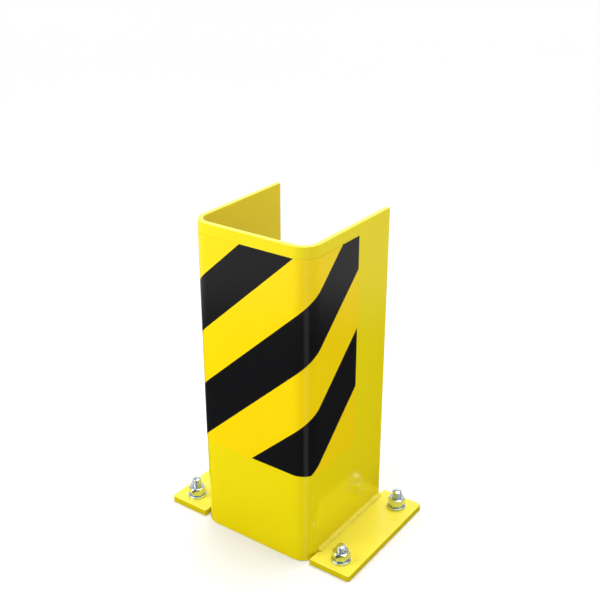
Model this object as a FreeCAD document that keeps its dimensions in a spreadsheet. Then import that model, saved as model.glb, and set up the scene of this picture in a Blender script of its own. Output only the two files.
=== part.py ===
import FreeCAD, Part

import os
import re

import Sketcher

# Guard for the foot of a storage rack's upright: a steel channel folded into a U stands on end, a base
# plate is welded to each of its two legs, and four wedge anchors hold the plates down on a concrete floor.
# A hazard film wraps the upper part of the channel.
#
# Millimetres. The origin is on the floor at the middle of the assembly's footprint: +Z is up, the closed
# face of the channel (its web) looks along -Y, and the open side, where the rack's upright goes in, is +Y.

DRIVING_SIZES = (
    # alias, size, what it is
    ("guard_height", 400, "height of the channel"),
    ("guard_width", 160, "outside width across the two legs"),
    ("guard_depth", 160, "from the web's outer face to the legs' free edges"),
    ("sheet_thickness", 6, "steel sheet of the channel"),
    ("bend_radius", 22, "outside radius of the two bends"),
    ("plate_width", 55, "how far a base plate stands out from its leg"),
    ("plate_length", 170, "base plate, front to back"),
    ("plate_thickness", 8, "steel of the base plates"),
    ("plate_setback", 3, "front edge of the plates behind the web's outer face"),
    ("plate_corner", 3, "radius of a plate's two free corners"),
    ("weld_leg", 5, "leg of the fillet weld between plate and channel"),
    ("anchor_diameter", 12, "thread of the wedge anchors"),
    ("anchor_from_leg", 31, "anchor's axis to the outside of its leg"),
    ("anchor_end_margin", 21, "anchor's axis to the nearer end of its plate"),
    ("anchor_proud_left_front", 11.5, "thread that stands above this anchor's nut"),
    ("anchor_proud_left_rear", 10, "the same for the left rear anchor"),
    ("anchor_proud_right_front", 6.8, "the same for the right front anchor"),
    ("anchor_proud_right_rear", 10, "the same for the right rear anchor"),
    ("anchor_chamfer", 1.2, "chamfer on the anchor's end"),
    ("hole_clearance", 1, "plate hole round the anchor, on the radius"),
    ("washer_diameter", 24, "outside of the washers"),
    ("washer_thickness", 3, "thickness of the washers"),
    ("washer_clearance", 0.5, "washer hole round the anchor, on the radius"),
    ("washer_chamfer", 0.5, "chamfer round the washer's top"),
    ("nut_flats", 19, "across the flats of the hexagon nuts"),
    ("nut_height", 10.8, "height of the nuts"),
    ("nut_face", 17.6, "diameter of a nut's flat end face"),
    ("nut_chamfer", 1.3, "how far the corner chamfer runs down a nut"),
    ("thread_clearance", 0.05, "nut thread round the anchor, on the radius"),
    ("nut_turn_left_front", 36, "degrees that this nut stopped at, about its anchor's axis"),
    ("nut_turn_left_rear", 12, "the same for the left rear nut"),
    ("nut_turn_right_front", 25, "the same for the right front nut"),
    ("nut_turn_right_rear", 31, "the same for the right rear nut"),
    ("film_bottom", 120, "lower edge of the hazard film above the floor"),
    ("film_height", 266, "hazard film, bottom to top"),
    ("film_reach", 95, "how far the film runs back along the legs from the web's outer face"),
    ("film_thickness", 0.4, "hazard film"),
    ("adhesive_gap", 0.05, "adhesive between the film and the paint"),
)

# Sizes that follow from the driving ones.
DERIVED_SIZES = (
    ("half_width", "guard_width / 2"),
    ("film_offset", "adhesive_gap + film_thickness"),
    ("footprint_depth", "film_offset + max(guard_depth; plate_setback + plate_length)"),
    ("web_front", "film_offset - footprint_depth / 2"),
    ("leg_end", "web_front + guard_depth"),
    ("plate_front", "web_front + plate_setback"),
    ("plate_rear", "plate_front + plate_length"),
    ("bend_end", "web_front + bend_radius"),
    ("weld_top", "plate_thickness + weld_leg"),
    ("weld_rear", "min(leg_end; plate_rear)"),
    ("anchor_radius", "anchor_diameter / 2"),
    ("anchor_across", "half_width + anchor_from_leg"),
    ("anchor_front", "plate_front + anchor_end_margin"),
    ("anchor_rear", "plate_rear - anchor_end_margin"),
    ("nut_seat", "plate_thickness + washer_thickness"),
    ("nut_top", "nut_seat + nut_height"),
    ("beyond_corners", "nut_flats * 0.6"),
)

SIDES = (("left", -1), ("right", 1))
ENDS = ("front", "rear")

doc = FreeCAD.newDocument("upright_guard")
sheet = doc.addObject("Spreadsheet::Sheet", "sizes")


def fill_sheet():
    """Write the sizes, one to a row: its name, its value under the same alias, and its meaning."""
    row = 0
    for alias, size, meaning in DRIVING_SIZES:
        row += 1
        sheet.set(f"A{row}", alias)
        sheet.set(f"B{row}", str(size))
        sheet.setAlias(f"B{row}", alias)
        sheet.set(f"C{row}", meaning)
    for alias, formula in DERIVED_SIZES:
        row += 1
        sheet.set(f"A{row}", alias)
        sheet.set(f"B{row}", f"={formula}")
        sheet.setAlias(f"B{row}", alias)
    doc.recompute()


fill_sheet()

ALIASES = [entry[0] for entry in DRIVING_SIZES + DERIVED_SIZES]


def bound(formula):
    """The formula with each size named as the sheet's own, ready for setExpression."""
    return re.sub(r"[a-z_]+", lambda word: f"sizes.{word[0]}" if word[0] in ALIASES else word[0], formula)


def value(formula):
    """The number that a formula on the sheet's sizes gives now."""
    return float(sheet.evalExpression(bound(formula)))


# ---- sketches and features ---------------------------------------------------------------------------


def new_body(label):
    body = doc.addObject("PartDesign::Body", label)
    body.Label = label
    return body


def new_sketch(body, plane_role, name):
    """A sketch on one of the body's own origin planes."""
    sketch = body.newObject("Sketcher::SketchObject", f"{body.Name}_{name}")
    plane = next(part for part in body.Origin.OriginFeatures if part.Role == plane_role)
    sketch.AttachmentSupport = [(plane, "")]
    sketch.MapMode = "FlatFace"
    return sketch


def fix_point(sketch, element, point, across, along):
    """Hold a point of a sketch's element at two formulas measured from the sketch's origin."""
    for kind, formula in (("DistanceX", across), ("DistanceY", along)):
        number = sketch.addConstraint(Sketcher.Constraint(kind, -1, 1, element, point, value(formula)))
        sketch.setExpression(f"Constraints[{number}]", bound(formula))


def draw_outline(sketch, corners):
    """Close a straight-sided outline whose corners are pairs of formulas."""
    first = sketch.GeometryCount
    places = [FreeCAD.Vector(value(across), value(along), 0) for across, along in corners]
    count = len(places)
    for number in range(count):
        sketch.addGeometry(Part.LineSegment(places[number], places[(number + 1) % count]), False)
    for number in range(count):
        following = first + (number + 1) % count
        sketch.addConstraint(Sketcher.Constraint("Coincident", first + number, 2, following, 1))
    for number, (across, along) in enumerate(corners):
        fix_point(sketch, first + number, 1, across, along)


def draw_circle(sketch, across, along, radius):
    """Draw a circle whose centre and radius are formulas."""
    centre = FreeCAD.Vector(value(across), value(along), 0)
    circle = Part.Circle(centre, FreeCAD.Vector(0, 0, 1), value(radius))
    element = sketch.addGeometry(circle, False)
    fix_point(sketch, element, 3, across, along)
    number = sketch.addConstraint(Sketcher.Constraint("Radius", element, value(radius)))
    sketch.setExpression(f"Constraints[{number}]", bound(radius))


def draw_hexagon(sketch, flats):
    """Draw a regular hexagon about the origin, with two of its corners on the sketch's X axis."""
    corner_radius = f"{flats} / 2 / cos(30 deg)"
    radius = value(corner_radius)
    centre = FreeCAD.Vector(0, 0, 0)
    round_it = sketch.addGeometry(Part.Circle(centre, FreeCAD.Vector(0, 0, 1), radius), True)
    sketch.addConstraint(Sketcher.Constraint("Coincident", round_it, 3, -1, 1))
    number = sketch.addConstraint(Sketcher.Constraint("Radius", round_it, radius))
    sketch.setExpression(f"Constraints[{number}]", bound(corner_radius))
    turn = FreeCAD.Rotation(FreeCAD.Vector(0, 0, 1), 60)
    start = FreeCAD.Vector(radius, 0, 0)
    sides = []
    for _ in range(6):
        end = turn.multVec(start)
        sides.append(sketch.addGeometry(Part.LineSegment(start, end), False))
        start = end
    for side, following in zip(sides, sides[1:] + sides[:1]):
        sketch.addConstraint(Sketcher.Constraint("Coincident", side, 2, following, 1))
        sketch.addConstraint(Sketcher.Constraint("PointOnObject", side, 1, round_it))
    for side in sides[1:]:
        sketch.addConstraint(Sketcher.Constraint("Equal", sides[0], side))
    sketch.addConstraint(Sketcher.Constraint("PointOnObject", sides[0], 1, -1))


def pad(body, sketch, length, name, back=False):
    feature = body.newObject("PartDesign::Pad", f"{body.Name}_{name}")
    feature.Profile = sketch
    feature.setExpression("Length", bound(length))
    feature.Reversed = back
    doc.recompute()
    return feature


def cut_through(body, sketch, name):
    """Cut a sketch's outline right through the body, both ways from the sketch."""
    before = body.Shape.Volume
    feature = body.newObject("PartDesign::Pocket", f"{body.Name}_{name}")
    feature.Profile = sketch
    feature.Type = "ThroughAll"
    feature.Midplane = True
    doc.recompute()
    if not body.Shape.Volume < before:
        raise RuntimeError(f"{feature.Name} removed nothing")
    return feature


def turn_away(body, sketch, name):
    """Turn away what a sketch on the XZ plane holds, all the way round the body's Z axis."""
    before = body.Shape.Volume
    feature = body.newObject("PartDesign::Groove", f"{body.Name}_{name}")
    feature.Profile = sketch
    feature.ReferenceAxis = (sketch, ["V_Axis"])
    feature.Angle = 360
    doc.recompute()
    if not body.Shape.Volume < before:
        raise RuntimeError(f"{feature.Name} removed nothing")
    return feature


def is_upright_at(edge, across, along):
    """Whether an edge stands along Z over the place that two formulas give."""
    start, end = edge.Vertexes[0].Point, edge.Vertexes[-1].Point
    place = FreeCAD.Vector(value(across), value(along), 0)
    off = [FreeCAD.Vector(point.x, point.y, 0).distanceToPoint(place) for point in (start, end)]
    return max(off) < 1e-4 and abs(start.z - end.z) > 1e-4


def edge_names(feature, wanted):
    return [f"Edge{number}" for number, edge in enumerate(feature.Shape.Edges, 1) if wanted(edge)]


def round_uprights(body, places, radius, name):
    """Round the upright edges that stand over the places given."""
    base = body.Tip
    names = edge_names(base, lambda edge: any(is_upright_at(edge, *place) for place in places))
    if len(names) != len(places):
        raise RuntimeError(f"{body.Label}: {len(names)} edges to round, not {len(places)}")
    feature = body.newObject("PartDesign::Fillet", f"{body.Name}_{name}")
    feature.Base = (base, names)
    feature.setExpression("Radius", bound(radius))
    doc.recompute()
    return feature


def chamfer_ring(body, height, radius, size, name):
    """Chamfer the circular edge of the given radius that lies at the given height."""
    base = body.Tip

    def wanted(edge):
        curve = edge.Curve
        if not isinstance(curve, Part.Circle):
            return False
        return abs(curve.Center.z - value(height)) < 1e-4 and abs(curve.Radius - value(radius)) < 1e-4

    names = edge_names(base, wanted)
    feature = body.newObject("PartDesign::Chamfer", f"{body.Name}_{name}")
    feature.Base = (base, names)
    feature.setExpression("Size", bound(size))
    doc.recompute()
    return feature


def place(body, across, along, up, turn="0"):
    """Move a body to where the formulas say, turned that many degrees about Z."""
    spot = f"vector({across}; {along}; {up})"
    body.setExpression("Placement", bound(f"placement({spot}; rotation(vector(0; 0; 1); {turn}))"))


# ---- the folded channel, and the film that wraps it --------------------------------------------------


def make_bent_sheet(label, stand_off, thickness, rear, bottom, height):
    """A sheet bent into a U round the channel's outline.

    stand_off is how far the sheet's outer face stands outside the channel's, and rear is where its two
    free edges end.
    """
    body = new_body(label)
    out = f"(half_width + {stand_off})"
    into = f"(half_width + {stand_off} - {thickness})"
    face = f"(web_front - {stand_off})"
    inner_face = f"(web_front - {stand_off} + {thickness})"
    profile = new_sketch(body, "XY_Plane", "profile")
    corners = (
        (f"-1 * {out}", face),
        (out, face),
        (out, rear),
        (into, rear),
        (into, inner_face),
        (f"-1 * {into}", inner_face),
        (f"-1 * {into}", rear),
        (f"-1 * {out}", rear),
    )
    draw_outline(profile, corners)
    pad(body, profile, height, "sheet")
    outside = ((out, face), (f"-1 * {out}", face))
    inside = ((into, inner_face), (f"-1 * {into}", inner_face))
    round_uprights(body, outside, f"bend_radius + {stand_off}", "outer_bends")
    round_uprights(body, inside, f"bend_radius + {stand_off} - {thickness}", "inner_bends")
    place(body, "0", "0", bottom)
    return body


# ---- base plates and their welds ---------------------------------------------------------------------


def make_base_plate(side, sign):
    """A flat bar against the outside of one leg, with two anchor holes."""
    body = new_body(f"base_plate_{side}")
    inner = f"{sign} * half_width"
    outer = f"{sign} * (half_width + plate_width)"
    outline = new_sketch(body, "XY_Plane", "outline")
    draw_outline(
        outline,
        ((inner, "plate_front"), (outer, "plate_front"), (outer, "plate_rear"), (inner, "plate_rear")),
    )
    pad(body, outline, "plate_thickness", "bar")
    round_uprights(body, ((outer, "plate_front"), (outer, "plate_rear")), "plate_corner", "corners")
    holes = new_sketch(body, "XY_Plane", "holes")
    for end in ENDS:
        draw_circle(holes, f"{sign} * anchor_across", f"anchor_{end}", "anchor_radius + hole_clearance")
    cut_through(body, holes, "anchor_holes")
    return body


def make_weld(side, sign):
    """The fillet weld on top of a plate along its leg, which ends where the leg begins to bend."""
    body = new_body(f"weld_{side}")
    wall = f"{sign} * half_width"
    toe = f"{sign} * (half_width + weld_leg)"
    bead = new_sketch(body, "XZ_Plane", "bead")
    bead.setExpression("AttachmentOffset.Base.z", bound("-1 * bend_end"))
    draw_outline(bead, ((wall, "plate_thickness"), (toe, "plate_thickness"), (wall, "weld_top")))
    pad(body, bead, "weld_rear - bend_end", "bead_run", back=True)
    return body


# ---- anchors -----------------------------------------------------------------------------------------


def make_anchor_stud(label, top):
    """The threaded end of a wedge anchor, from the floor's surface up to the given height."""
    body = new_body(label)
    section = new_sketch(body, "XY_Plane", "section")
    draw_circle(section, "0", "0", "anchor_radius")
    pad(body, section, top, "shank")
    chamfer_ring(body, top, "anchor_radius", "anchor_chamfer", "end")
    return body


def make_washer(label):
    body = new_body(label)
    ring = new_sketch(body, "XY_Plane", "ring")
    draw_circle(ring, "0", "0", "washer_diameter / 2")
    draw_circle(ring, "0", "0", "anchor_radius + washer_clearance")
    pad(body, ring, "washer_thickness", "disc")
    chamfer_ring(body, "washer_thickness", "washer_diameter / 2", "washer_chamfer", "rim")
    return body


def make_hex_nut(label):
    """A hexagon nut with its corners turned down at both ends."""
    body = new_body(label)
    hexagon = new_sketch(body, "XY_Plane", "hexagon")
    draw_hexagon(hexagon, "nut_flats")
    pad(body, hexagon, "nut_height", "blank")
    corners = new_sketch(body, "XZ_Plane", "corners")
    face = "nut_face / 2"
    reach = "beyond_corners"
    fall = "nut_chamfer * (beyond_corners - nut_face / 2) / (nut_flats / sqrt(3) - nut_face / 2)"
    draw_outline(corners, ((face, "0"), (reach, "0"), (reach, fall)))
    draw_outline(
        corners,
        ((face, "nut_height"), (reach, "nut_height"), (reach, f"nut_height - {fall}")),
    )
    turn_away(body, corners, "turned_corners")
    bore = new_sketch(body, "XY_Plane", "bore")
    draw_circle(bore, "0", "0", "anchor_radius + thread_clearance")
    cut_through(body, bore, "threaded_bore")
    return body


def make_anchor(side, sign, end):
    """One anchor's three pieces in place: the stud, the washer on the plate and the nut on the washer."""
    spot = f"{side}_{end}"
    stud = make_anchor_stud(f"anchor_stud_{spot}", f"nut_top + anchor_proud_{spot}")
    washer = make_washer(f"washer_{spot}")
    nut = make_hex_nut(f"hex_nut_{spot}")
    across, along = f"{sign} * anchor_across", f"anchor_{end}"
    place(stud, across, along, "0")
    place(washer, across, along, "plate_thickness")
    place(nut, across, along, "nut_seat", f"nut_turn_{spot}")
    return [stud, washer, nut]


def make_parts():
    parts = [
        make_bent_sheet("guard_channel", "0", "sheet_thickness", "leg_end", "0", "guard_height"),
        make_bent_sheet(
            "hazard_film",
            "film_offset",
            "film_thickness",
            "(web_front + film_reach)",
            "film_bottom",
            "film_height",
        ),
    ]
    for side, sign in SIDES:
        parts.append(make_base_plate(side, sign))
        parts.append(make_weld(side, sign))
        for end in ENDS:
            parts += make_anchor(side, sign, end)
    return parts


def check_parts(parts):
    """Stop if any feature failed, or any piece isn't one sound solid."""
    failed = [item.Name for item in doc.Objects if {"Invalid", "Error"} & set(item.State)]
    if failed:
        raise RuntimeError(f"failed features: {failed}")
    for part in parts:
        shape = part.Shape
        if shape.isNull() or not shape.isValid() or len(shape.Solids) != 1:
            raise RuntimeError(f"{part.Label} isn't one valid solid")


def export_parts(parts):
    os.makedirs("parts", exist_ok=True)
    for part in parts:
        part.Shape.exportStep(f"parts/{part.Label}.step")
        box = part.Shape.BoundBox
        spans = (f"{low:.2f} to {high:.2f}" for low, high in (
            (box.XMin, box.XMax), (box.YMin, box.YMax), (box.ZMin, box.ZMax)))
        print(part.Label, f"{part.Shape.Volume:.0f} mm3,", ", ".join(spans))


guard_parts = make_parts()
doc.recompute()
check_parts(guard_parts)
export_parts(guard_parts)
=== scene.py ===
"""Rack upright guard: the finished look of a folded guard, its film and its floor anchors.

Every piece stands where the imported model's nodes stand. Lengths are metres.
"""

import math

import bmesh
import bpy
from bpy.props import FloatProperty, FloatVectorProperty, PointerProperty
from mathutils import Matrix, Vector


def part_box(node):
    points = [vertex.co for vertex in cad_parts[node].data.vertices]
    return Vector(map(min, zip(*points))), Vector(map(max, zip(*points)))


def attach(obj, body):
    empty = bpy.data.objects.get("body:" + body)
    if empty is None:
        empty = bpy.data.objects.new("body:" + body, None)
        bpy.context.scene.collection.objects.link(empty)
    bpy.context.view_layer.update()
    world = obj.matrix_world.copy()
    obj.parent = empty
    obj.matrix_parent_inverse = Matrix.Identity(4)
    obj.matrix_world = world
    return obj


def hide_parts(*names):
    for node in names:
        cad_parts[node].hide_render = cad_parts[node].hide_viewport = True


bl_info = {
    "name": "Rack Upright Guard",
    "version": (1, 0, 0),
    "blender": (4, 5, 0),
    "location": "View3D > Sidebar > Guard",
    "description": "Builds a folded steel upright guard with its film, welds and anchors",
    "category": "Add Mesh",
}

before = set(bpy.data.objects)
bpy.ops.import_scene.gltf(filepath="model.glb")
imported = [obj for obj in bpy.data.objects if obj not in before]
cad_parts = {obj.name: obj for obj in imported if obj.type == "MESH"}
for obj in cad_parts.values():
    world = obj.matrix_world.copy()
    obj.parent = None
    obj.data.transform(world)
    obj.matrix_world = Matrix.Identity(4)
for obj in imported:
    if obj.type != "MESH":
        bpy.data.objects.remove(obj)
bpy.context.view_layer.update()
BODY = "root"
SIDES = ("left", "right")
ANCHOR_SPOTS = tuple(f"{side}_{end}" for side in SIDES for end in ("front", "rear"))
SAME_PLACE = 1e-6  # points nearer than this to each other are one point


def node_box(node):
    """A node's lowest and highest corners as two vectors."""
    low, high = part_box(node)
    return Vector(low), Vector(high)


CHANNEL_LOW, CHANNEL_HIGH = node_box("guard_channel")
FILM_LOW, FILM_HIGH = node_box("hazard_film")
PLATE_TOP = node_box("base_plate_right")[1].z
BEND_STEPS = 28  # facets round each bend, on the channel and on the film alike


# ---- node graphs ---------------------------------------------------------------------------------


class Wire:
    """One output of a node, with arithmetic that adds Math nodes to the same tree."""

    def __init__(self, graph, socket):
        self.graph = graph
        self.socket = socket

    def out(self, name):
        """Another output of the same node."""
        return Wire(self.graph, self.socket.node.outputs[name])

    def __add__(self, other):
        return self.graph.maths("ADD", self, other)

    def __radd__(self, other):
        return self.graph.maths("ADD", other, self)

    def __sub__(self, other):
        return self.graph.maths("SUBTRACT", self, other)

    def __rsub__(self, other):
        return self.graph.maths("SUBTRACT", other, self)

    def __mul__(self, other):
        return self.graph.maths("MULTIPLY", self, other)

    def __rmul__(self, other):
        return self.graph.maths("MULTIPLY", other, self)

    def __truediv__(self, other):
        return self.graph.maths("DIVIDE", self, other)

    def __rtruediv__(self, other):
        return self.graph.maths("DIVIDE", other, self)

    def __neg__(self):
        return self.graph.maths("MULTIPLY", self, -1.0)

    def __abs__(self):
        return self.graph.maths("ABSOLUTE", self)

    def __lt__(self, other):
        return self.graph.maths("LESS_THAN", self, other)

    def __gt__(self, other):
        return self.graph.maths("GREATER_THAN", self, other)


class Graph:
    """A node tree that is being filled, for a material, a world or a geometry modifier."""

    def __init__(self, tree):
        self.tree = tree
        self.tree.nodes.clear()

    def node(self, kind, settings=None, values=None):
        """Add a node and return its first output in use, or the node if it has none.

        Its settings come first, then the value, the wire or the list of wires of each socket.
        """
        made = self.tree.nodes.new(kind)
        for name, setting in (settings or {}).items():
            if name == "stops":
                fill_ramp(made.color_ramp, setting)
            else:
                setattr(made, name, setting)
        for name, given in (values or {}).items():
            wires = given if isinstance(given, list) else [given]
            for wire in wires:
                if isinstance(wire, Wire):
                    self.tree.links.new(wire.socket, made.inputs[name])
                else:
                    made.inputs[name].default_value = wire
        shown = [socket for socket in made.outputs if socket.enabled]
        return Wire(self, shown[0]) if shown else made

    def maths(self, operation, *values):
        return self.node("ShaderNodeMath", {"operation": operation}, dict(enumerate(values)))

    def clamp(self, wire):
        return self.node("ShaderNodeClamp", values={"Value": wire})

    def point(self, x, y, z):
        return self.node("ShaderNodeCombineXYZ", values={"X": x, "Y": y, "Z": z})

    def vectors(self, operation, first, second=(0.0, 0.0, 0.0)):
        settings = {"operation": operation}
        return self.node("ShaderNodeVectorMath", settings, {0: first, 1: second})

    def blend(self, factor, first, second):
        """First colour where the factor is 0, second where it is 1."""
        settings = {"data_type": "RGBA", "clamp_factor": True}
        return self.node("ShaderNodeMix", settings, {"Factor": factor, "A": first, "B": second})


def fill_ramp(ramp, stops):
    """Give a colour ramp the stops, each a position and a colour."""
    while len(ramp.elements) > len(stops):
        ramp.elements.remove(ramp.elements[-1])
    while len(ramp.elements) < len(stops):
        ramp.elements.new(1.0)
    for element, (position, colour) in zip(ramp.elements, stops):
        element.position = position
        element.color = colour


def new_growth(name, sizes, takes_geometry=False):
    """A geometry tree with one named float input for each size, and its graph and input wires."""
    tree = bpy.data.node_groups.new(name, "GeometryNodeTree")
    tree.interface.new_socket("Geometry", in_out="OUTPUT", socket_type="NodeSocketGeometry")
    if takes_geometry:
        tree.interface.new_socket("Geometry", in_out="INPUT", socket_type="NodeSocketGeometry")
    for size in sizes:
        tree.interface.new_socket(size, in_out="INPUT", socket_type="NodeSocketFloat")
    graph = Graph(tree)
    given = graph.node("NodeGroupInput")
    return graph, {size: given.out(size) for size in sizes}


def end_growth(graph, geometry, material):
    """Close a geometry tree with plain, realised geometry in one material."""
    real = graph.node("GeometryNodeRealizeInstances", values={"Geometry": geometry})
    smooth = graph.node("GeometryNodeSetShadeSmooth", values={"Geometry": real})
    coated = graph.node(
        "GeometryNodeSetMaterial", values={"Geometry": smooth, "Material": material}
    )
    graph.node("NodeGroupOutput", values={"Geometry": coated})
    return graph.tree


# ---- materials -----------------------------------------------------------------------------------


def new_material(name):
    material = bpy.data.materials.new(name)
    material.use_nodes = True
    return material, Graph(material.node_tree)


def end_material(graph, values):
    shader = graph.node("ShaderNodeBsdfPrincipled", values=values)
    graph.node("ShaderNodeOutputMaterial", values={"Surface": shader})


def object_place(graph):
    return graph.node("ShaderNodeTexCoord").out("Object")


def noise(graph, place, grain, detail=2.0, roughness=0.5):
    """Noise from 0 to 1 whose patches are about grain metres across."""
    settings = {"noise_dimensions": "3D"}
    values = {"Vector": place, "Scale": 1.0 / grain, "Detail": detail, "Roughness": roughness}
    return graph.node("ShaderNodeTexNoise", settings, values)


def ripples(graph, height, strength, depth):
    """Normals of a surface that rises and falls by up to depth metres."""
    values = {"Strength": strength, "Distance": depth, "Height": height}
    return graph.node("ShaderNodeBump", values=values)


def opaque(colour):
    return (*colour, 1.0)


def toned(colour, tone):
    """The colour with all its channels turned down to the given part, or up."""
    return opaque([channel * tone for channel in colour])


def powder_coat(name, finish, tone):
    """Glossy powder coat: orange peel, a little random drift of tone, and paler level faces,
    which are a painted highlight of the light from above.

    tone below 1 darkens the faces that aren't level, as painted shade; the plates use it on their
    upright edges.
    """
    cloud_size, speckle_size = 0.05, 0.0012
    # how far a face must turn up before the painted highlight of top light shows on it
    peel_depth, fine_part = 0.0004, 0.2
    sheen_from, sheen_range = 0.35, 0.5
    roughness_range = 0.06
    material, graph = new_material(name)
    sources = graph.node("ShaderNodeTexCoord")
    place = sources.out("Object")
    drift = noise(graph, place, cloud_size, detail=3.0)
    peel = noise(graph, place, finish.peel_size, detail=1.0, roughness=0.4)
    fine = noise(graph, place, finish.peel_size * 0.3, detail=1.0, roughness=0.4)
    normal = graph.node("ShaderNodeSeparateXYZ", values={"Vector": sources.out("Normal")})
    # level is the painted highlight's mask: faces that turn up are painted paler, as if lit from
    # above
    level = graph.clamp((normal.out("Z") - sheen_from) / sheen_range)
    # a tone below 1 paints shade on the faces that aren't level
    dark, light = toned(finish.paint_dark, tone), toned(finish.paint_light, tone)
    upright = graph.blend(drift, dark, light)
    speckle = noise(graph, place, speckle_size)
    # pale is the painted highlight's colour, speckled
    pale = graph.blend(speckle, opaque(finish.top_sheen_dark), opaque(finish.top_sheen_light))
    least = finish.paint_roughness - roughness_range / 2
    rise = peel * (1.0 - fine_part) + fine * fine_part
    end_material(graph, {
        "Base Color": graph.blend(level, upright, pale),
        "Roughness": drift * roughness_range + level * roughness_range + least,
        "Specular IOR Level": 0.5,
        "Normal": ripples(graph, rise, finish.peel_strength, peel_depth),
    })
    return material


def film_face(name, colour, finish):
    """Printed face of the hazard film, smoother than the paint but following it faintly."""
    cloud_size, cloud_tone = 0.03, 0.94
    swell_size, swell_strength, swell_depth = 0.006, 0.12, 0.0003
    roughness_range = 0.04
    material, graph = new_material(name)
    place = object_place(graph)
    drift = noise(graph, place, cloud_size)
    swell = noise(graph, place, swell_size, detail=1.0)
    end_material(graph, {
        "Base Color": graph.blend(drift, toned(colour, cloud_tone), opaque(colour)),
        "Roughness": drift * roughness_range + finish.film_roughness,
        "Specular IOR Level": 0.45,
        "Normal": ripples(graph, swell, swell_strength, swell_depth),
    })
    return material


def zinc_plate(finish):
    """Bright zinc plating: a cool metal, cloudy and scuffed, with straw-coloured patches."""
    cloud_size, scuff_size, patch_size = 0.004, 0.0008, 0.0035
    patch_from, patch_steepness, patch_strength = 0.52, 5.0, 0.45
    scuff_strength, scuff_depth = 0.15, 0.00008
    roughness_range = 0.14
    material, graph = new_material("anchor_zinc")
    place = object_place(graph)
    cloud = noise(graph, place, cloud_size, detail=4.0, roughness=0.6)
    scuff = noise(graph, place, scuff_size)
    blotch = noise(graph, place, patch_size, detail=1.0)
    patch = graph.clamp((blotch - patch_from) * patch_steepness)
    cool = graph.blend(cloud, opaque(finish.zinc_dark), opaque(finish.zinc_light))
    end_material(graph, {
        "Base Color": graph.blend(patch * patch_strength, cool, opaque(finish.zinc_straw)),
        "Metallic": 1.0,
        "Roughness": cloud * roughness_range + finish.zinc_roughness,
        "Normal": ripples(graph, scuff, scuff_strength, scuff_depth),
    })
    return material


def paint():
    """The guard's coat, made once and then shared."""
    name = "guard_paint"
    finish = bpy.context.scene.guard_finish
    return bpy.data.materials.get(name) or powder_coat(name, finish, 1.0)


def zinc():
    """The anchors' plating, made once and then shared."""
    return bpy.data.materials.get("anchor_zinc") or zinc_plate(bpy.context.scene.guard_finish)


# ---- turning trees and copies into plain pieces --------------------------------------------------


def new_piece(name, mesh):
    piece = bpy.data.objects.new(name, mesh)
    bpy.context.scene.collection.objects.link(piece)
    return piece


def settle(piece):
    """Replace a piece's mesh by what its modifiers make of it, and drop the modifiers."""
    bpy.context.view_layer.update()
    depsgraph = bpy.context.evaluated_depsgraph_get()
    mesh = bpy.data.meshes.new_from_object(piece.evaluated_get(depsgraph))
    mesh.name = piece.name
    piece.modifiers.clear()
    piece.data = mesh


def grow(name, tree, sizes, base=None):
    """A piece with a live geometry modifier whose named inputs hold the sizes."""
    piece = new_piece(name, base or bpy.data.meshes.new(name))
    modifier = piece.modifiers.new("growth", "NODES")
    modifier.node_group = tree
    for item in tree.interface.items_tree:
        if item.item_type == "SOCKET" and item.in_out == "INPUT" and item.name in sizes:
            modifier[item.identifier] = float(sizes[item.name])
    return piece


def round_edges(piece, radius, segments, over_degrees):
    bevel = piece.modifiers.new("round_edges", "BEVEL")
    bevel.width = radius
    bevel.segments = segments
    bevel.limit_method = "ANGLE"
    bevel.angle_limit = math.radians(over_degrees)
    bevel.use_clamp_overlap = True
    bevel.harden_normals = True


def merged_copy(node):
    """A copy of a CAD node's mesh with its loose triangles joined and its flat faces whole."""
    work = bmesh.new()
    work.from_mesh(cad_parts[node].data)
    flat = math.radians(0.5)
    bmesh.ops.remove_doubles(work, verts=work.verts, dist=SAME_PLACE)
    bmesh.ops.dissolve_limit(work, angle_limit=flat, verts=work.verts, edges=work.edges)
    for face in work.faces:
        face.smooth = True
        face.material_index = 0
    mesh = bpy.data.meshes.new(f"{node}_copy")
    work.to_mesh(mesh)
    work.free()
    return mesh


def finish_copy(node, name, radius, material):
    """A merged copy of a CAD node with its sharp edges rounded."""
    mesh = merged_copy(node)
    mesh.materials.append(material)
    piece = new_piece(name, mesh)
    round_edges(piece, radius, segments=2, over_degrees=25)
    piece.modifiers.new("level_faces", "WEIGHTED_NORMAL")
    settle(piece)
    return piece


def hand_over(piece, node):
    """Let a finished piece ride on the body and stand for its CAD node."""
    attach(piece, BODY)
    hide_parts(node)


# ---- the folded channel --------------------------------------------------------------------------


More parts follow.
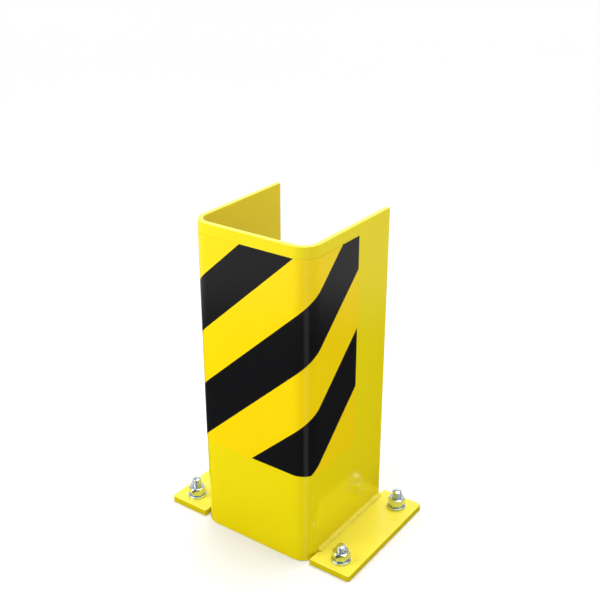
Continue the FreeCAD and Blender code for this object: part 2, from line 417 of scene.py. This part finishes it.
def channel_growth(material):
    """The sheet's upright section, swept along a U with rounded bends."""
    sizes = ("Half Width", "Web Face", "Leg End", "Height", "Thickness", "Bend Radius")
    graph, size = new_growth("folded_channel", sizes)
    half_sheet = size["Thickness"] / 2.0
    across = size["Half Width"] - half_sheet
    face = size["Web Face"] + half_sheet
    corners = {
        "Point 1": graph.point(-across, size["Leg End"], 0.0),
        "Point 2": graph.point(-across, face, 0.0),
        "Point 3": graph.point(across, face, 0.0),
        "Point 4": graph.point(across, size["Leg End"], 0.0),
    }
    ring = graph.node("GeometryNodeCurvePrimitiveQuadrilateral", {"mode": "POINTS"}, corners)
    path = graph.node("GeometryNodeSetSplineCyclic", values={"Geometry": ring, "Cyclic": False})
    bent = graph.node(
        "GeometryNodeFilletCurve",
        {"mode": "POLY"},
        {"Curve": path, "Count": BEND_STEPS, "Radius": size["Bend Radius"] - half_sheet},
    )
    steady = graph.node("GeometryNodeSetCurveNormal", {"mode": "Z_UP"}, {"Curve": bent})
    strip = graph.node(
        "GeometryNodeCurvePrimitiveQuadrilateral",
        {"mode": "RECTANGLE"},
        {"Width": size["Thickness"], "Height": size["Height"]},
    )
    swept = graph.node(
        "GeometryNodeCurveToMesh",
        values={"Curve": steady, "Profile Curve": strip, "Fill Caps": True},
    )
    raised = graph.point(0.0, 0.0, size["Height"] / 2.0)
    stood = graph.node(
        "GeometryNodeTransform", values={"Geometry": swept, "Translation": raised}
    )
    joined = graph.node(
        "GeometryNodeMergeByDistance", values={"Geometry": stood, "Distance": SAME_PLACE}
    )
    return end_growth(graph, joined, material)


class GUARD_OT_channel(bpy.types.Operator):
    """Fold the channel and round its cut edges"""

    bl_idname = "guard.channel"
    bl_label = "Channel"

    def execute(self, context):
        shape = context.scene.guard_shape
        sizes = {
            "Half Width": CHANNEL_HIGH.x,
            "Web Face": CHANNEL_LOW.y,
            "Leg End": CHANNEL_HIGH.y,
            "Height": CHANNEL_HIGH.z,
            "Thickness": shape.sheet,
            "Bend Radius": shape.bend_radius,
        }
        piece = grow("folded_channel", channel_growth(paint()), sizes)
        round_edges(piece, shape.cut_edge, segments=3, over_degrees=40)
        settle(piece)
        hand_over(piece, "guard_channel")
        return {"FINISHED"}


# ---- base plates and welds -----------------------------------------------------------------------


class GUARD_OT_plates(bpy.types.Operator):
    """Round the edges of the two base plates"""

    bl_idname = "guard.plates"
    bl_label = "Base plates"

    def execute(self, context):
        shape = context.scene.guard_shape
        finish = context.scene.guard_finish
        # this coat paints shade on the plates' upright edges
        coat = powder_coat("plate_paint", finish, finish.plate_side_shade)
        for side in SIDES:
            node = f"base_plate_{side}"
            piece = finish_copy(node, f"coated_plate_{side}", shape.plate_edge, coat)
            hand_over(piece, node)
        return {"FINISHED"}


def weld_growth(material):
    """Puddles laid over the weld's plain solid, along the straight seam between plate and leg."""
    sunk_part, thickness_part, rear_part, front_part = 0.09, 0.4, 0.5, 0.3
    smallest, largest, shake, lean = 0.9, 1.06, 0.0003, math.radians(30)
    sizes = ("Side", "Wall", "Plate Top", "Rear", "Front", "Puddle", "Pitch")
    graph, size = new_growth("weld_bead", sizes, takes_geometry=True)
    sunk = size["Puddle"] * sunk_part
    across, low = size["Side"] * (size["Wall"] - sunk), size["Plate Top"] - sunk
    ends = {
        "Start": graph.point(across, size["Rear"] - size["Puddle"] * rear_part, low),
        "End": graph.point(across, size["Front"] + size["Puddle"] * front_part, low),
    }
    seam = graph.node("GeometryNodeCurvePrimitiveLine", {"mode": "POINTS"}, ends)
    stops = graph.node(
        "GeometryNodeResampleCurve", {"mode": "LENGTH"}, {"Curve": seam, "Length": size["Pitch"]}
    )
    wander = graph.node(
        "FunctionNodeRandomValue",
        {"data_type": "FLOAT_VECTOR"},
        {"Min": (-shake,) * 3, "Max": (shake,) * 3, "Seed": 7},
    )
    shaken = graph.node("GeometryNodeSetPosition", values={"Geometry": stops, "Offset": wander})
    ball = graph.node("GeometryNodeMeshIcoSphere", values={"Radius": 1.0, "Subdivisions": 3})
    swell = graph.node(
        "FunctionNodeRandomValue",
        {"data_type": "FLOAT"},
        {"Min": smallest, "Max": largest, "Seed": 11},
    )
    girth = swell * size["Puddle"]
    puddles = graph.node(
        "GeometryNodeInstanceOnPoints",
        values={
            "Points": shaken,
            "Instance": ball,
            "Rotation": (lean, 0.0, 0.0),
            "Scale": graph.point(girth, girth * thickness_part, girth),
        },
    )
    solid = size["Puddle"].out("Geometry")
    joined = graph.node("GeometryNodeJoinGeometry", values={"Geometry": [solid, puddles]})
    return end_growth(graph, joined, material)


class GUARD_OT_welds(bpy.types.Operator):
    """Lay the two fillet welds and flood them with paint"""

    bl_idname = "guard.welds"
    bl_label = "Welds"

    def execute(self, context):
        shape = context.scene.guard_shape
        tree = weld_growth(paint())
        for side, sign in zip(SIDES, (-1.0, 1.0)):
            node = f"weld_{side}"
            low, high = node_box(node)
            sizes = {
                "Side": sign,
                "Wall": CHANNEL_HIGH.x,
                "Plate Top": PLATE_TOP,
                "Rear": high.y,
                "Front": low.y,
                "Puddle": shape.weld_puddle,
                "Pitch": shape.weld_pitch,
            }
            piece = grow(f"painted_weld_{side}", tree, sizes, merged_copy(node))
            skin = piece.modifiers.new("paint_skin", "REMESH")
            skin.mode = "VOXEL"
            skin.voxel_size = shape.weld_grain
            skin.use_smooth_shade = True
            flow = piece.modifiers.new("paint_flow", "SMOOTH")
            flow.factor = 0.5
            flow.iterations = 4
            settle(piece)
            for vertex in piece.data.vertices:
                vertex.co.z = max(vertex.co.z, 0.0)
            piece.data.materials.clear()
            piece.data.materials.append(paint())
            hand_over(piece, node)
        return {"FINISHED"}


# ---- hazard film ---------------------------------------------------------------------------------


class WrapPath:
    """The film's line round the channel, from a developed length to a place."""

    def __init__(self, half_width, face, radius):
        self.flat = half_width - radius
        self.radius = radius
        self.face = face
        self.arc = radius * math.pi / 2

    def at(self, length):
        """Place on the film's outer face at a developed length from the web's middle."""
        side = math.copysign(1.0, length)
        run = abs(length)
        if run <= self.flat:
            return length, self.face
        if run <= self.flat + self.arc:
            turn = (run - self.flat) / self.radius
            across = self.flat + self.radius * math.sin(turn)
            return side * across, self.face + self.radius - self.radius * math.cos(turn)
        beyond = run - self.flat - self.arc
        return side * (self.flat + self.radius), self.face + self.radius + beyond


def film_stations(path, reach, lines, slope, bottom, top):
    """Developed lengths where columns begin: bend steps, ends and where a band's edge leaves."""
    stations = {-reach, reach}
    for side in (-1.0, 1.0):
        for step in range(BEND_STEPS + 1):
            stations.add(side * (path.flat + path.arc * step / BEND_STEPS))
    for line in lines:
        for height in (bottom, top):
            length = (height - line) / slope
            if abs(length) < reach:
                stations.add(length)
    ordered = sorted(stations)
    kept = [ordered[0]]
    for station in ordered[1:]:
        if station - kept[-1] > SAME_PLACE:
            kept.append(station)
    return kept


def film_cells(stations, lines, slope, bottom, top, black):
    """The film's cells of one colour, each as its left and right heights between two stations.

    lines are the band edges' heights at the web's middle, from the lowest up, and the colour
    changes at each of them: below the first one the film is yellow.
    """
    for left, right in zip(stations, stations[1:]):
        edges = [(bottom, bottom)]
        for line in lines:
            ends = (line + slope * length for length in (left, right))
            edges.append(tuple(min(max(end, bottom), top) for end in ends))
        edges.append((top, top))
        for number, (low, high) in enumerate(zip(edges, edges[1:])):
            if (number % 2 == 1) != black:
                continue
            if max(high[0] - low[0], high[1] - low[1]) > SAME_PLACE / 10:
                yield left, right, low, high


def film_piece(name, path, cells, thickness, material):
    """A closed thin solid over the given cells, which lie on the film's outer face."""
    work = bmesh.new()
    for left, right, low, high in cells:
        rim = [(left, low[0]), (right, low[1]), (right, high[1]), (left, high[0])]
        rim = [spot for number, spot in enumerate(rim) if spot != rim[number - 1]]
        work.faces.new([work.verts.new((*path.at(length), height)) for length, height in rim])
    bmesh.ops.remove_doubles(work, verts=work.verts, dist=SAME_PLACE / 10)
    bmesh.ops.recalc_face_normals(work, faces=work.faces)
    for face in work.faces:
        centre = face.calc_center_median()
        outward = Vector((centre.x, centre.y - path.face - path.radius * 2.0, 0.0))
        if face.normal.dot(outward) < 0.0:
            face.normal_flip()
        face.smooth = True
    mesh = bpy.data.meshes.new(name)
    work.to_mesh(mesh)
    work.free()
    mesh.materials.append(material)
    piece = new_piece(name, mesh)
    wall = piece.modifiers.new("film_wall", "SOLIDIFY")
    wall.thickness = thickness
    wall.offset = -1.0
    wall.use_even_offset = True
    settle(piece)
    piece.data.set_sharp_from_angle(angle=math.radians(40))
    return piece


class GUARD_OT_film(bpy.types.Operator):
    """Wrap the hazard film, with its black bands cut in as pieces of their own"""

    bl_idname = "guard.film"
    bl_label = "Hazard film"

    def execute(self, context):
        finish = context.scene.guard_finish
        shape = context.scene.guard_shape
        stand_off = CHANNEL_LOW.y - FILM_LOW.y
        path = WrapPath(FILM_HIGH.x, FILM_LOW.y, shape.bend_radius + stand_off)
        reach = path.flat + path.arc + FILM_HIGH.y - (FILM_LOW.y + path.radius)
        slope = math.tan(shape.band_angle)
        lines = sorted(shape.band_edges)
        bottom, top = FILM_LOW.z, FILM_HIGH.z
        stations = film_stations(path, reach, lines, slope, bottom, top)
        for name, colour, black in (
            ("film_yellow", finish.film_yellow, False),
            ("film_black", finish.film_black, True),
        ):
            cells = film_cells(stations, lines, slope, bottom, top, black)
            material = film_face(name, colour, finish)
            piece = film_piece(name, path, cells, shape.film, material)
            hand_over(piece, "hazard_film")
        return {"FINISHED"}


# ---- anchors -------------------------------------------------------------------------------------


def thread_growth(material):
    """A stud whose surface follows a screw thread, turned to a chamfer at its end.

    It starts as a flat grid, X once round the stud and Y from its foot to its end, whose first and
    last rows are drawn together on the axis.
    """
    columns, rows = 49, 264
    crest, flank = 0.125, 0.625  # parts of half a pitch
    ahead = 40.0  # keeps the phase above zero
    sizes = ("X", "Y", "Radius", "Length", "Chamfer")
    thread_sizes = ("Thread Start", "Pitch", "Depth", "Start Turn")
    graph, size = new_growth("threaded_stud", sizes + thread_sizes)
    grid = graph.node(
        "GeometryNodeMeshGrid",
        values={"Size X": 1.0, "Size Y": 1.0, "Vertices X": columns, "Vertices Y": rows},
    )
    position = graph.node("GeometryNodeInputPosition")
    spot = graph.node("ShaderNodeSeparateXYZ", values={"Vector": position})
    turn = spot.out("X") + 0.5
    row = graph.maths("ROUND", (spot.out("Y") + 0.5) * float(rows - 1))
    height = graph.clamp((row - 1.0) / float(rows - 3)) * size["Length"]
    phase = graph.maths("FRACT", height / size["Pitch"] - turn + size["Start Turn"] + ahead)
    sink = graph.clamp((abs(phase * 2.0 - 1.0) - crest) / flank)
    runs = graph.clamp((height - size["Thread Start"]) / size["Pitch"])
    cut = size["Radius"] - sink * runs * size["Depth"]
    cone = size["Radius"] + size["Length"] - height - size["Chamfer"]
    inside = (row > 0.5) * (row < rows - 1.5)
    radius = graph.maths("MINIMUM", cut, cone) * inside
    angle = turn * math.tau
    place = graph.point(
        size["X"] + radius * graph.maths("COSINE", angle),
        size["Y"] + radius * graph.maths("SINE", angle),
        height,
    )
    shaped = graph.node("GeometryNodeSetPosition", values={"Geometry": grid, "Position": place})
    closed = graph.node(
        "GeometryNodeMergeByDistance", values={"Geometry": shaped, "Distance": SAME_PLACE}
    )
    return end_growth(graph, closed, material)


def face_outwards(piece):
    """Turn a closed mesh's faces outwards and keep its sharper edges crisp."""
    work = bmesh.new()
    work.from_mesh(piece.data)
    bmesh.ops.recalc_face_normals(work, faces=work.faces)
    work.to_mesh(piece.data)
    work.free()
    piece.data.set_sharp_from_angle(angle=math.radians(60))


class GUARD_OT_anchors(bpy.types.Operator):
    """Cut the threads of the anchors and finish their nuts and washers"""

    bl_idname = "guard.anchors"
    bl_label = "Anchors"

    def execute(self, context):
        turn_apart = 0.31  # of a whole turn, so that no two threads end alike
        shape = context.scene.guard_shape
        tree = thread_growth(zinc())
        for number, spot in enumerate(ANCHOR_SPOTS):
            node = f"anchor_stud_{spot}"
            low, high = node_box(node)
            sizes = {
                "X": (low.x + high.x) / 2,
                "Y": (low.y + high.y) / 2,
                "Radius": (high.x - low.x) / 2,
                "Length": high.z,
                "Thread Start": PLATE_TOP / 2,
                "Pitch": shape.thread_pitch,
                "Depth": shape.thread_depth,
                "Chamfer": shape.stud_chamfer,
                "Start Turn": number * turn_apart,
            }
            stud = grow(f"threaded_stud_{spot}", tree, sizes)
            settle(stud)
            face_outwards(stud)
            hand_over(stud, node)
            for kind, name, radius in (
                ("hex_nut", "plated_nut", shape.nut_edge),
                ("washer", "plated_washer", shape.washer_edge),
            ):
                node = f"{kind}_{spot}"
                piece = finish_copy(node, f"{name}_{spot}", radius, zinc())
                hand_over(piece, node)
        return {"FINISHED"}


# ---- stage ---------------------------------------------------------------------------------------


def studio_floor(stage):
    """Pale floor that glows a little, and that polished faces see through to the darker room."""
    cloud_size, dull, pale, below = 1.5, 0.74, 0.76, 0.0003
    material, graph = new_material("studio_floor")
    cloud = noise(graph, object_place(graph), cloud_size)
    end_material(graph, {
        "Base Color": graph.blend(cloud, opaque([dull] * 3), opaque([pale] * 3)),
        "Roughness": 0.7,
        "Specular IOR Level": 0.1,
        "Emission Color": (1.0, 1.0, 1.0, 1.0),
        "Emission Strength": stage.floor_glow,
    })
    work = bmesh.new()
    bmesh.ops.create_grid(work, x_segments=1, y_segments=1, size=stage.floor_size / 2)
    mesh = bpy.data.meshes.new("floor")
    work.to_mesh(mesh)
    work.free()
    mesh.materials.append(material)
    floor = new_piece("floor", mesh)
    floor.location.z = -below
    floor.visible_glossy = False


def studio_room(stage):
    """Light from all round, brightest at eye level and dark below, where a bench would stand."""
    beyond_top, sweep_low, sweep_high, ceiling = -0.1, -0.06, 0.14, 0.4
    bench_soft, cloth_soft, cloth_fade = 0.025, 0.1, 0.3
    window_core, window_edge = 0.5, 1.5  # parts of half its spread
    world = bpy.data.worlds.new("studio")
    world.use_nodes = True
    graph = Graph(world.node_tree)
    way = graph.node("ShaderNodeTexCoord").out("Generated")
    parts = graph.node("ShaderNodeSeparateXYZ", values={"Vector": way})
    rise = parts.out("Z")
    glows = (
        (-1.0, stage.bench_glow),
        (stage.bench_edge - bench_soft, stage.bench_glow),
        (stage.bench_edge + bench_soft, stage.beyond_glow),
        (beyond_top, stage.beyond_glow),
        (sweep_low, stage.sweep_glow),
        (sweep_high, stage.sweep_glow),
        (ceiling, stage.room_glow),
    )
    stops = [((height + 1.0) / 2.0, opaque([glow] * 3)) for height, glow in glows]
    around = graph.node("ShaderNodeValToRGB", {"stops": stops}, {"Fac": rise * 0.5 + 0.5})
    flat = graph.point(parts.out("X"), parts.out("Y"), 0.0)
    level = graph.vectors("NORMALIZE", flat)
    half, turn = stage.window_spread / 2, stage.window_turn
    core, edge = math.cos(half * window_core), math.cos(half * window_edge)
    window_way = (math.sin(turn), -math.cos(turn), 0.0)
    facing = graph.vectors("DOT_PRODUCT", level, window_way).out("Value")
    window = graph.clamp((facing - edge) / (core - edge)) * stage.window_glow
    cloth_way = (-math.sin(stage.camera_turn), math.cos(stage.camera_turn), 0.0)
    away = graph.vectors("DOT_PRODUCT", level, cloth_way).out("Value")
    tall = graph.clamp((stage.cloth_top - rise) / cloth_soft) * (rise > 0.0)
    cloth = graph.clamp((away - cloth_fade) / cloth_fade) * tall * stage.cloth_glow
    added = window + cloth
    shine = graph.vectors("ADD", around, graph.point(added, added, added))
    glow = graph.node("ShaderNodeBackground", values={"Color": shine, "Strength": 1.0})
    graph.node("ShaderNodeOutputWorld", values={"Surface": glow})
    bpy.context.scene.world = world


def hang_light(name, kind, azimuth, elevation, energy, distance=1.0):
    """A light aimed at the guard's middle from the given direction; returns its data."""
    lamp = bpy.data.lights.new(name, kind)
    lamp.energy = energy
    light = bpy.data.objects.new(name, lamp)
    light.visible_camera = False
    bpy.context.scene.collection.objects.link(light)
    back = Vector((
        math.sin(azimuth) * math.cos(elevation),
        -math.cos(azimuth) * math.cos(elevation),
        math.sin(elevation),
    ))
    light.location = (CHANNEL_LOW + CHANNEL_HIGH) / 2 + back * distance
    light.rotation_mode = "QUATERNION"
    light.rotation_quaternion = back.to_track_quat("Z", "Y")
    return lamp


def set_camera(stage):
    camera = bpy.data.objects.new("camera", bpy.data.cameras.new("camera"))
    camera.data.sensor_width = 36.0
    camera.data.lens = stage.lens
    camera.location = stage.camera_place
    camera.rotation_euler = (math.pi / 2 - stage.camera_pitch, 0.0, stage.camera_turn)
    bpy.context.scene.collection.objects.link(camera)
    bpy.context.scene.camera = camera


class GUARD_OT_stage(bpy.types.Operator):
    """Set the floor, the lights and the camera"""

    bl_idname = "guard.stage"
    bl_label = "Stage"

    def execute(self, context):
        stage = context.scene.guard_stage
        studio_floor(stage)
        studio_room(stage)
        key = hang_light(
            "key", "AREA", stage.key_turn, stage.key_rise, stage.key_power, stage.key_reach
        )
        key.size = stage.key_reach * 0.6
        top = hang_light("top", "SUN", stage.top_turn, stage.top_rise, stage.top_strength)
        top.angle = stage.top_spread
        side = hang_light(
            "side", "AREA", stage.side_turn, stage.side_rise, stage.side_power, stage.side_reach
        )
        side.size = stage.side_reach * 0.5
        set_camera(stage)
        context.scene.view_settings.view_transform = "Standard"
        return {"FINISHED"}


# ---- settings, panel and registration ------------------------------------------------------------


def a_length(name, description, default):
    return FloatProperty(
        name=name, description=description, default=default, unit="LENGTH", precision=5
    )


def an_angle(name, description, degrees):
    return FloatProperty(
        name=name, description=description, default=math.radians(degrees), subtype="ANGLE"
    )


def a_number(name, description, default):
    return FloatProperty(name=name, description=description, default=default)


def a_colour(name, description, default):
    return FloatVectorProperty(
        name=name, description=description, default=default, subtype="COLOR", min=0.0, max=1.0
    )


class GuardShape(bpy.types.PropertyGroup):
    """Sizes of the guard's pieces"""

    sheet: a_length("Sheet", "Thickness of the folded sheet", 0.006)
    bend_radius: a_length("Bend radius", "Outside radius of the bends", 0.022)
    cut_edge: a_length("Cut edge", "Rounding of the painted cut edges", 0.0009)
    plate_edge: a_length("Plate edge", "Rounding of the base plates' edges", 0.00072)
    weld_puddle: a_length("Weld puddle", "Radius of one puddle of the weld", 0.0053)
    weld_pitch: a_length("Weld pitch", "Distance from one puddle to the next", 0.0026)
    weld_grain: a_length(
        "Weld grain", "Size of the smallest detail left in the painted weld", 0.0005
    )
    film: a_length("Film", "Thickness of the hazard film", 0.0004)
    band_angle: an_angle("Band angle", "Rise of the black bands round the guard", 42.9)
    band_edges: FloatVectorProperty(
        name="Band edges",
        description="Heights of the bands' edges at the middle of the web, from the lowest up",
        default=(0.045, 0.1203, 0.1925, 0.2624, 0.3303, 0.3962),
        size=6,
        unit="LENGTH",
        precision=4,
    )
    thread_pitch: a_length("Thread pitch", "Pitch of the anchors' thread", 0.00175)
    thread_depth: a_length("Thread depth", "Depth of the anchors' thread", 0.00175 * 0.6134)
    stud_chamfer: a_length("Stud chamfer", "Chamfer on the end of an anchor", 0.0012)
    nut_edge: a_length("Nut edge", "Rounding of the nuts' edges", 0.0003)
    washer_edge: a_length("Washer edge", "Rounding of the washers' edges", 0.0002)


class GuardFinish(bpy.types.PropertyGroup):
    """Colours and surfaces"""

    paint_light: a_colour("Paint, light", "Lighter shade of the powder coat", (0.835, 0.685, 0.0))
    paint_dark: a_colour("Paint, dark", "Darker shade of the powder coat", (0.80, 0.655, 0.0))
    # colours of the painted highlight: level faces painted paler, as if lit from above
    top_sheen_light: a_colour(
        "Level paint, light", "Lighter shade of the coat on level faces", (0.95, 0.83, 0.10)
    )
    top_sheen_dark: a_colour(
        "Level paint, dark", "Darker shade of the coat on level faces", (0.90, 0.77, 0.05)
    )
    paint_roughness: a_number("Paint roughness", "Roughness of the powder coat", 0.12)
    # painted shade on the plates' upright edges
    plate_side_shade: a_number(
        "Plate tone", "How much of the paint's shade is left on the plates' upright edges", 0.78
    )
    peel_size: a_length("Orange peel", "Size of the powder coat's ripples", 0.0022)
    peel_strength: a_number("Peel strength", "Strength of the powder coat's ripples", 0.14)
    film_yellow: a_colour("Film yellow", "Yellow of the hazard film", (0.92, 0.66, 0.0))
    film_black: a_colour("Film black", "Black of the hazard film", (0.006, 0.006, 0.007))
    film_roughness: a_number("Film roughness", "Roughness of the film's face", 0.08)
    zinc_light: a_colour("Zinc, light", "Lighter shade of the plating", (0.80, 0.86, 0.89))
    zinc_dark: a_colour("Zinc, dark", "Darker shade of the plating", (0.50, 0.60, 0.66))
    zinc_straw: a_colour(
        "Zinc, straw", "Shade of the plating's straw-coloured patches", (0.82, 0.80, 0.55)
    )
    zinc_roughness: a_number("Zinc roughness", "Least roughness of the plating", 0.14)


class GuardStage(bpy.types.PropertyGroup):
    """Floor, lights and camera"""

    floor_size: a_length("Floor", "Side of the square floor", 60.0)
    floor_glow: a_number("Floor glow", "Light given off by the floor itself", 0.17)
    sweep_glow: a_number("Sweep glow", "Brightness of the white sweep at eye level", 1.0)
    room_glow: a_number("Room glow", "Brightness of the ceiling", 0.15)
    beyond_glow: a_number("Beyond glow", "Brightness of the room beyond the bench", 0.42)
    bench_glow: a_number(
        "Bench glow", "Brightness of the dark bench that polished faces mirror", 0.03
    )
    bench_edge: a_number(
        "Bench edge", "Sine of the angle below the horizon at which the bench ends", -0.42
    )
    window_glow: a_number(
        "Window glow", "Brightness of a tall window mirrored in the right bend", 0.4
    )
    window_turn: an_angle("Window turn", "Direction of the tall window", 50.0)
    window_spread: an_angle("Window spread", "Angle that the tall window fills", 24.0)
    cloth_glow: a_number("Cloth glow", "Brightness of the white cloth hung behind the guard", 0.65)
    cloth_top: a_number(
        "Cloth top", "Sine of the angle above the horizon at which the cloth ends", 0.72
    )
    key_power: a_number("Key power", "Power of the soft box at the front left", 6.25)
    key_turn: an_angle("Key turn", "Direction of the key light", -40.0)
    key_rise: an_angle("Key rise", "Height of the key light above the horizon", 35.0)
    key_reach: a_length("Key reach", "Distance of the key light from the guard's middle", 1.0)
    top_strength: a_number("Top strength", "Strength of the soft light overhead", 2.4)
    top_turn: an_angle("Top turn", "Direction of the top light", 175.0)
    top_rise: an_angle("Top rise", "Height of the top light above the horizon", 76.0)
    top_spread: an_angle("Top spread", "Angle that the top light fills", 40.0)
    side_power: a_number(
        "Side power", "Power of the small soft light near the right leg's top", 0.42
    )
    side_turn: an_angle("Side turn", "Direction of the side light", 98.0)
    side_rise: an_angle("Side rise", "Height of the side light above the horizon", 36.0)
    side_reach: a_length("Side reach", "Distance of the side light from the guard's middle", 0.75)
    lens: FloatProperty(name="Lens", description="Focal length in millimetres", default=59.04)
    camera_place: FloatVectorProperty(
        name="Camera",
        description="Where the camera stands",
        default=(0.6068, -0.8429, 0.7695),
        subtype="TRANSLATION",
        unit="LENGTH",
    )
    camera_turn: an_angle("Camera turn", "Turn of the camera about the vertical", 35.42)
    camera_pitch: an_angle("Camera pitch", "How far the camera looks down", 24.73)


GROUPS = (
    ("guard_shape", GuardShape),
    ("guard_finish", GuardFinish),
    ("guard_stage", GuardStage),
)
OPERATORS = (
    GUARD_OT_stage,
    GUARD_OT_channel,
    GUARD_OT_plates,
    GUARD_OT_welds,
    GUARD_OT_film,
    GUARD_OT_anchors,
)


class GUARD_PT_panel(bpy.types.Panel):
    """The guard's sizes, finishes and stage, and the operators that use them"""

    bl_label = "Rack Upright Guard"
    bl_idname = "GUARD_PT_panel"
    bl_space_type = "VIEW_3D"
    bl_region_type = "UI"
    bl_category = "Guard"

    def draw(self, context):
        for name, group in GROUPS:
            box = self.layout.box()
            for prop in group.__annotations__:
                box.prop(getattr(context.scene, name), prop)
        for operator in OPERATORS:
            self.layout.operator(operator.bl_idname)


def register():
    for _, group in GROUPS:
        bpy.utils.register_class(group)
    for name, group in GROUPS:
        setattr(bpy.types.Scene, name, PointerProperty(type=group))
    for made in (*OPERATORS, GUARD_PT_panel):
        bpy.utils.register_class(made)


def unregister():
    for made in reversed((*OPERATORS, GUARD_PT_panel)):
        bpy.utils.unregister_class(made)
    for name, group in reversed(GROUPS):
        delattr(bpy.types.Scene, name)
        bpy.utils.unregister_class(group)


def main():
    """Build every piece."""
    register()
    bpy.ops.guard.stage()
    bpy.ops.guard.channel()
    bpy.ops.guard.plates()
    bpy.ops.guard.welds()
    bpy.ops.guard.film()
    bpy.ops.guard.anchors()


if __name__ == "__main__":
    main()
